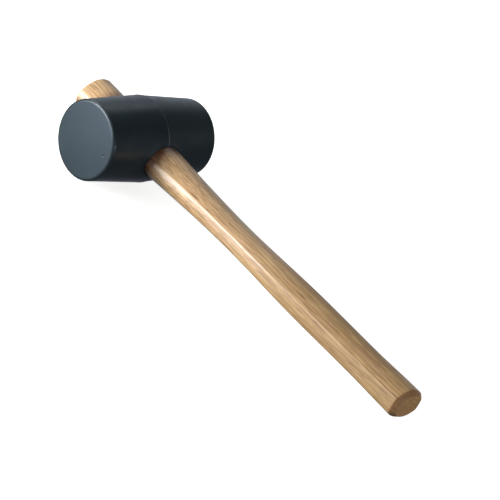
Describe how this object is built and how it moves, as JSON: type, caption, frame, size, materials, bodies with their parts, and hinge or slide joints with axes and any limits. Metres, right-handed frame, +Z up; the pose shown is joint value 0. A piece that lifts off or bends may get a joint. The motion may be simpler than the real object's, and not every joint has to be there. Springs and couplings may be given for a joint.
{
  "type": "rubber mallet",
  "caption": "Solid black rubber drum head on a tapered, flat-sided lacquered hardwood handle that passes right through it.",
  "frame": {"origin": "on the floor plane, below the middle of the mallet's box as it lies on its side", "axes": "+Z up; Y along the head's axis, square to both striking faces; +X from the head towards the butt of the handle, which tips down 4.07 degrees from +X to touch the floor"},
  "size_m": [0.3888, 0.116, 0.0705],
  "materials": {
    "rubber": "moulded black rubber, satin",
    "wood": "straight-grained ash, clear lacquer"
  },
  "bodies": {
    "root": {"rubber_head": "rubber", "handle": "wood"}
  },
  "joints": []
}
